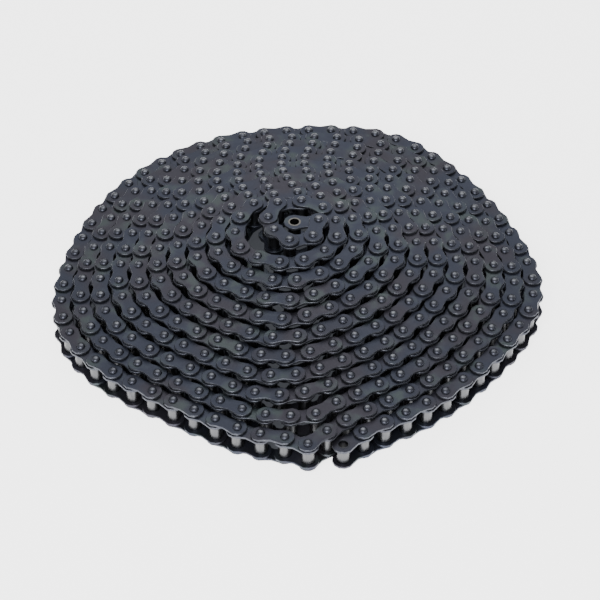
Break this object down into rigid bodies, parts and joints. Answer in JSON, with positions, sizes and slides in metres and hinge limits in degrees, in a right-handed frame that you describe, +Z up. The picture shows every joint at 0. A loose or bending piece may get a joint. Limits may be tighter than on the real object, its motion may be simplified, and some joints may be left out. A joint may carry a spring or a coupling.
{
  "type": "coil of roller chain",
  "caption": "Shallow cone-shaped coil of bush roller chain lying on its side, with a loose link at each end.",
  "frame": {"origin": "centre of the coil's outline, on the floor it lies on", "axes": "+Z up along the chain's pins; -Y towards the outer end of the chain; +X to the right of that"},
  "size_m": [0.1956, 0.1964, 0.0385],
  "materials": {
    "plates": "dark oiled oxide",
    "ends": "dark oiled oxide"
  },
  "bodies": {
    "coil": {"turn_01": "plates", "turn_02": "plates", "turn_03": "plates", "turn_04": "plates", "turn_05": "plates", "turn_06": "plates", "turn_07": "plates", "turn_08": "plates", "turn_09": "plates", "turn_10": "plates", "turn_11": "plates"},
    "outer_end": {"outer_end_link": "ends"},
    "inner_end": {"inner_end_link": "ends"}
  },
  "joints": [
    {"name": "outer_end_hinge", "type": "hinge", "parent": "coil", "child": "outer_end", "pos_m": [0.02431, -0.0852, 0.0066], "axis": [0, 0, 1], "range_deg": [0, 90]},
    {"name": "inner_end_hinge", "type": "hinge", "parent": "coil", "child": "inner_end", "pos_m": [0.00839, 0.00672, 0.0319], "axis": [0, 0, 1], "range_deg": [-40, 0]}
  ]
}
